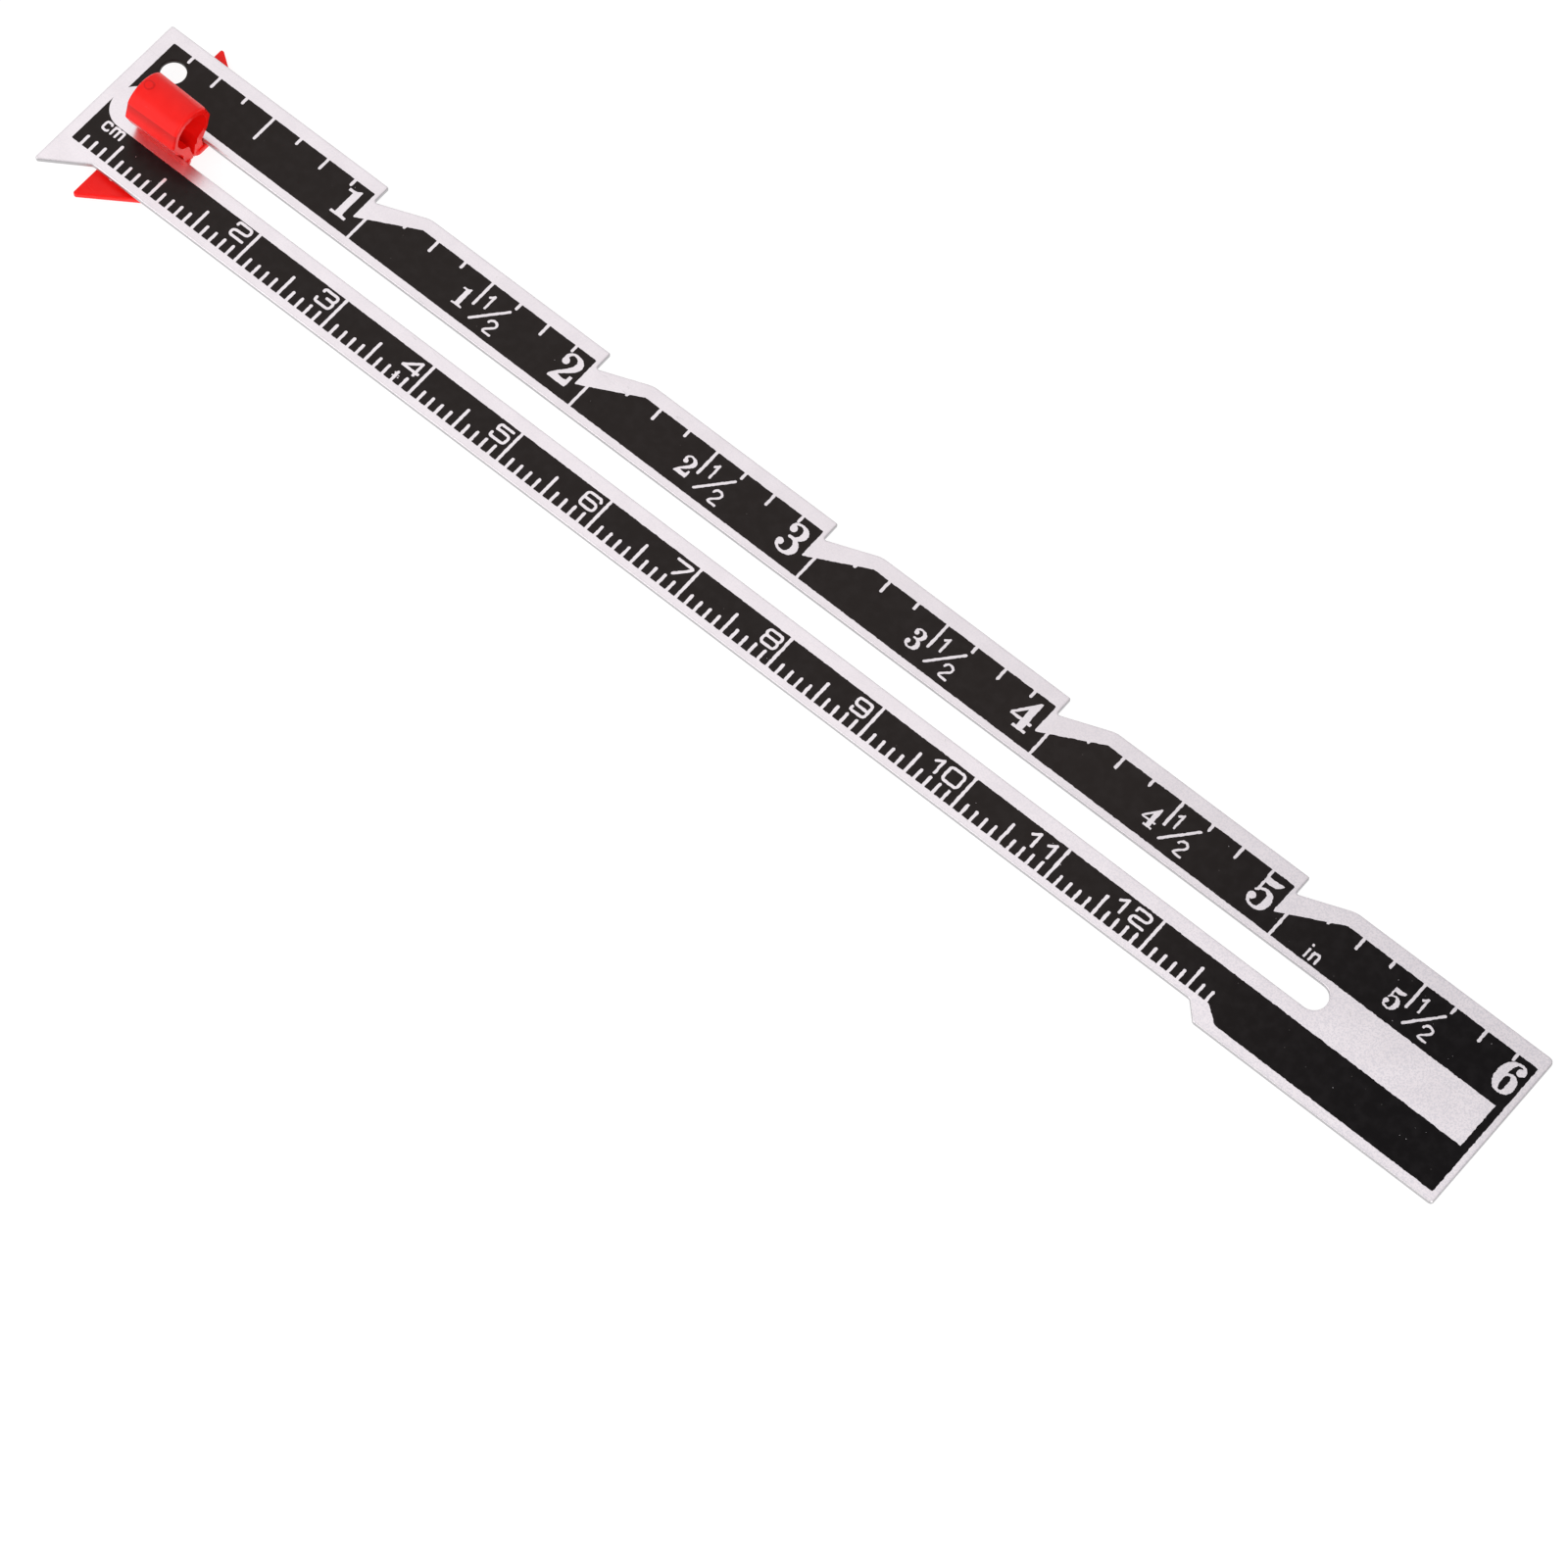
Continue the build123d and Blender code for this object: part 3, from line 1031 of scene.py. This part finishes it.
def addInkedRim(look):
    middle = look["holeRadius"] + look["edgeRadius"]
    level = bladeHigh.z - look["edgeRadius"]
    steps = range(look["steps"] + 1)
    profile = []
    for lift, order in ((look["thickness"], steps), (-look["sunk"], reversed(steps))):
        reach = look["edgeRadius"] + lift
        low = (middle - reach, level - look["wallShadeReach"])
        arc = []
        for step in order:
            turn = math.pi / 2 * (1 - step / look["steps"])
            arc.append((middle - reach * math.cos(turn), level + reach * math.sin(turn)))
        profile += arc + [low] if lift > 0 else [low] + arc
    points, faces = [], []
    count = len(profile)
    for side in range(look["sides"]):
        turn = 2 * math.pi * side / look["sides"]
        ring, nextRing = side * count, (side + 1) % look["sides"] * count
        for place, (radius, height) in enumerate(profile):
            x = holeCentre[0] + radius * math.cos(turn)
            y = holeCentre[1] + radius * math.sin(turn)
            points.append((x * mm, y * mm, height * mm))
            after = (place + 1) % count
            faces.append((ring + place, nextRing + place, nextRing + after, ring + after))
    piece = newPiece("inkedRimAndWallShade", points, faces)
    dress(piece, inkCoat)
    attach(piece, "blade")


addPrint(scalePrint)
addInkedRim(inkedRimAndWallShade)
dress(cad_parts["blade"], metal)
dress(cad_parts["slider"], plastic)
print("blade and slider dressed")


# Gate mark: the low ring that moulding leaves on top of the tube, near its start. Its rings run
# from the foot inwards, each as a share of the radius and of the height
gateMark = {
    "radius": 0.54,
    "height": 0.030,
    "alongFromEnd": 0.78,
    "turn": 2.0,  # degrees round the tube from its top
    "tubeRadius": 2.511,
    "axisHeight": 3.25,
    "rings": ((1.0, 0.35), (0.90, 1.0), (0.72, 1.0), (0.60, 0.40)),
    "sides": 28,
    # Painted shade: the mark is a darker red than the tube, standing in for its ring's shading
    "deep": (0.74, 0.006, 0.005, 1),
    "bright": (0.82, 0.010, 0.008, 1),
}


def addGateMark(look):
    x = sliderLow.x + look["alongFromEnd"]
    sides = look["sides"]
    points, faces = [], []
    for share, rise in look["rings"]:
        radius = look["radius"] * share
        reach = look["tubeRadius"] + look["height"] * (rise * 2 - 1)
        for side in range(sides):
            turn = 2 * math.pi * side / sides
            along, across = radius * math.cos(turn), radius * math.sin(turn)
            swing = math.radians(look["turn"]) + across / look["tubeRadius"]
            height = look["axisHeight"] + reach * math.cos(swing)
            points.append(((x + along) * mm, reach * math.sin(swing) * mm, height * mm))
    last = (len(look["rings"]) - 1) * sides
    for ring in range(0, last, sides):
        for side in range(sides):
            a, b = ring + side, ring + (side + 1) % sides
            faces.append((a, b, b + sides, a + sides))
    faces.append(tuple(range(last, last + sides)))
    piece = newPiece("gateMark", points, faces)
    piece.data.shade_smooth()
    # A darker copy of the red plastic: painted shade on the mark
    shadedScar = {**redPlastic, "name": "gateMarkShade", "deep": look["deep"], "bright": look["bright"]}
    dress(piece, plasticMaterial(shadedScar))
    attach(piece, "slider")


# Studio: a pale floor, a pale sky and three soft lamps. The sky is dimmer near its rim, and
# dimmer over the far end than over the zero end
studio = {
    "floorSize": 6.0,
    "floorDrop": 0.02 * mm,
    "floorColour": (0.25, 0.25, 0.25, 1),
    "floorRoughness": 0.9,
    "floorGlow": 0.84,
    "floorBounce": 0.75,
    "skyTop": 0.995,
    "skyTopFrom": 0.75,
    "skyRim": 0.68,
    "skyTowardEnd": 0.74,
    "skyFade": (-0.34, 0.02),
    "lampAim": (0.05, 0, 0),
    "lamps": [
        {"name": "sideBox", "place": (-0.28, -0.62, 0.38), "size": (0.50, 0.60), "power": 0.9},
        {"name": "endBox", "place": (0.60, -0.30, 0.25), "size": (0.40, 0.40), "power": 1.5},
        {"name": "lowBox", "place": (-0.10, -0.60, 0.05), "size": (0.60, 0.10), "power": 0.25},
    ],
}


def addFloor(look):
    half = look["floorSize"] / 2
    low = cadBox[0][2] - look["floorDrop"]
    corners = [(x, y, low) for x, y in bar(-half, half, -half, half)]
    floor = newPiece("floor", corners, [(0, 1, 2, 3)])
    material, tree, shader = newMaterial("paleFloor")
    fill(tree, shader, {"Base Color": look["floorColour"], "Roughness": look["floorRoughness"]})
    fill(tree, shader, {"Specular IOR Level": 0.0})
    rays = newNode(tree, "ShaderNodeLightPath")
    seen = maths(tree, "ADD", rays.outputs["Is Camera Ray"], rays.outputs["Is Glossy Ray"])
    seen = maths(tree, "ADD", seen, rays.outputs["Is Transmission Ray"])
    bounced = maths(tree, "MULTIPLY", rays.outputs["Is Diffuse Ray"], look["floorBounce"])
    seen = maths(tree, "ADD", seen, bounced, clamp=True)
    glow = newNode(tree, "ShaderNodeEmission")
    fill(tree, glow, {"Strength": maths(tree, "MULTIPLY", seen, look["floorGlow"])})
    both = newNode(tree, "ShaderNodeAddShader")
    fill(tree, both, {0: shader.outputs[0], 1: glow.outputs[0]})
    tree.links.new(both.outputs[0], tree.nodes["Material Output"].inputs["Surface"])
    dress(floor, material)


def addSky(look):
    world = bpy.data.worlds.new("sky")
    world.use_nodes = True
    bpy.context.scene.world = world
    tree = world.node_tree
    way = coordinates(tree, newNode(tree, "ShaderNodeTexCoord").outputs["Generated"])
    strength = spread(tree, way[2], 0.0, look["skyTopFrom"], look["skyRim"], look["skyTop"])
    fade = spread(tree, way[0], *look["skyFade"], 1.0, look["skyTowardEnd"])
    strength = maths(tree, "MULTIPLY", strength, fade)
    rays = newNode(tree, "ShaderNodeLightPath")
    strength = maths(tree, "MAXIMUM", strength, rays.outputs["Is Camera Ray"])
    fill(tree, tree.nodes["Background"], {"Color": (1, 1, 1, 1), "Strength": strength})


def addLamps(look):
    for lamp in look["lamps"]:
        data = bpy.data.lights.new(lamp["name"], "AREA")
        data.shape = "RECTANGLE"
        data.size, data.size_y = lamp["size"]
        data.energy = lamp["power"]
        light = bpy.data.objects.new(lamp["name"], data)
        bpy.context.scene.collection.objects.link(light)
        light.location = lamp["place"]
        sight = Vector(look["lampAim"]) - light.location
        light.rotation_euler = sight.to_track_quat("-Z", "Y").to_euler()


addGateMark(gateMark)
addFloor(studio)
addSky(studio)
addLamps(studio)
print("studio lit")
